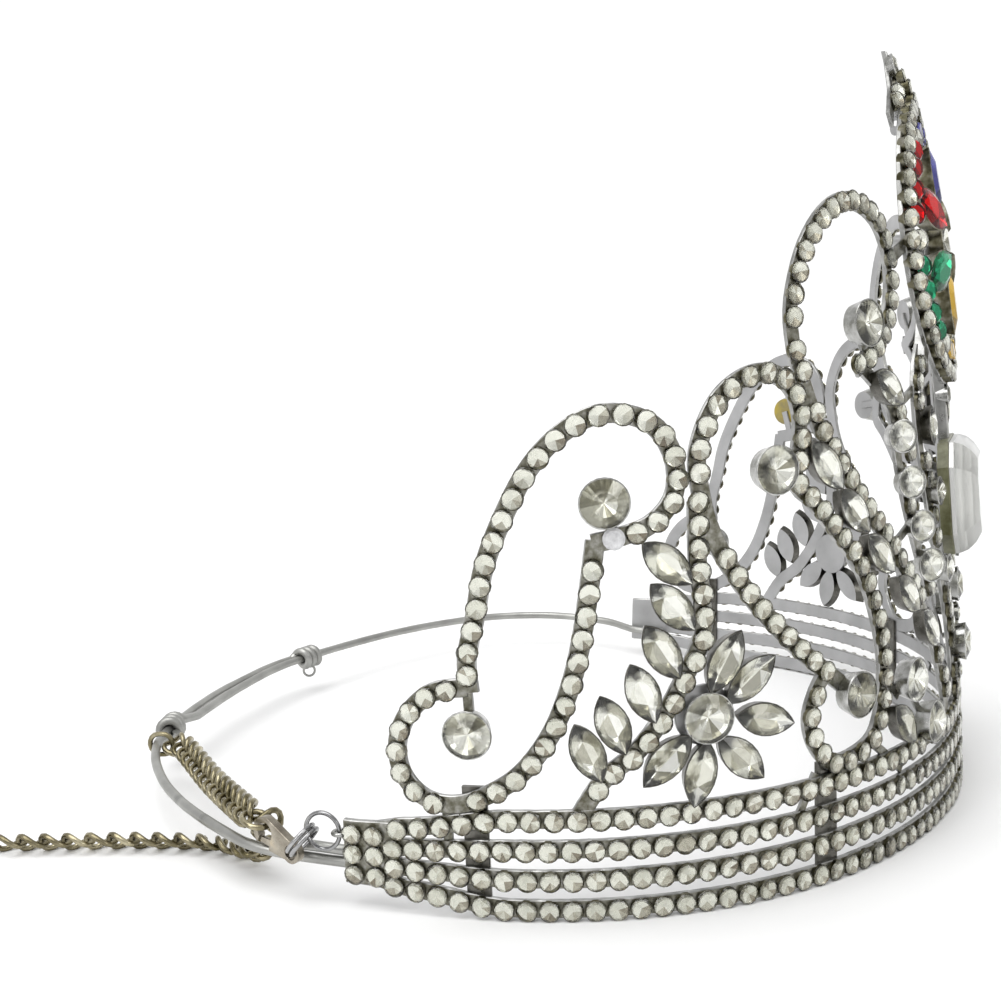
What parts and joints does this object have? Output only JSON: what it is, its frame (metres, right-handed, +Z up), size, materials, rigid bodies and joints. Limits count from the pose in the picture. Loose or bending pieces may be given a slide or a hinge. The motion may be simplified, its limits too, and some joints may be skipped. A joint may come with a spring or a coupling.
{
  "type": "fraternal regalia crown",
  "caption": "Rigid rhinestone crown with a tall openwork front, low band sides, wire back and chain closure with a small clasp, for wearing on the head with ceremonial dress.",
  "frame": {"origin": "middle of the loop that goes round the head, on the surface that the crown stands on", "axes": "+Z up, the crown's jewelled front faces -Y, the wearer's right is -X"},
  "size_m": [0.1817, 0.1705, 0.1409],
  "materials": {
    "frame_metal": "rhodium-tone plated white metal, bright on the front and satin grey on the back and edges",
    "stone_clear": "clear faceted glass with a foiled back",
    "stone_red": "deep red faceted glass with a foiled back",
    "stone_green": "dark green faceted glass with a foiled back",
    "stone_blue": "blue faceted glass with a foiled back",
    "stone_gold": "golden yellow faceted glass with a foiled back",
    "wire_steel": "bare matt steel wire with darker heat marks",
    "chain_brass": "worn brassy curb chain",
    "ring_steel": "plain steel jump rings",
    "clasp_brass": "pale gold-tone cast clasp"
  },
  "bodies": {
    "crown": {"crown_frame": "frame_metal", "flower_stones_right": "stone_clear", "flower_stones_left": "stone_clear", "leaf_stones_right": "stone_clear", "leaf_stones_left": "stone_clear", "branch_stones_right": "stone_clear", "branch_stones_left": "stone_clear", "scroll_chatons_right": "stone_clear", "scroll_chatons_left": "stone_clear", "drop_stones_right": "stone_clear", "drop_stones_left": "stone_clear", "rosette_centre": "stone_clear", "rosette_petal_red": "stone_red", "rosette_petal_green": "stone_green", "rosette_petal_blue": "stone_blue", "rosette_petal_gold": "stone_gold", "rosette_petal_clear_a": "stone_clear", "rosette_petal_clear_b": "stone_clear", "octagon_stone": "stone_clear", "flank_stones_right": "stone_clear", "flank_stones_left": "stone_clear", "column_stones": "stone_clear", "crest_stone": "stone_clear", "rear_wire_right": "wire_steel", "rear_wire_left": "wire_steel", "chain_run": "chain_brass", "chain_tail": "chain_brass", "jump_ring_large": "ring_steel", "jump_ring_a": "ring_steel", "jump_ring_b": "ring_steel", "clasp_body": "clasp_brass"},
    "lever": {"clasp_lever": "clasp_brass"}
  },
  "joints": [
    {"name": "clasp_lever_turn", "type": "hinge", "parent": "crown", "child": "lever", "pos_m": [-0.08691, 0.01966, 0.00951], "axis": [0.9563, -0.2924, 0], "range_deg": [0, 20], "stiffness_Nm_per_rad": 0.004, "springref_deg": -11.46}
  ]
}
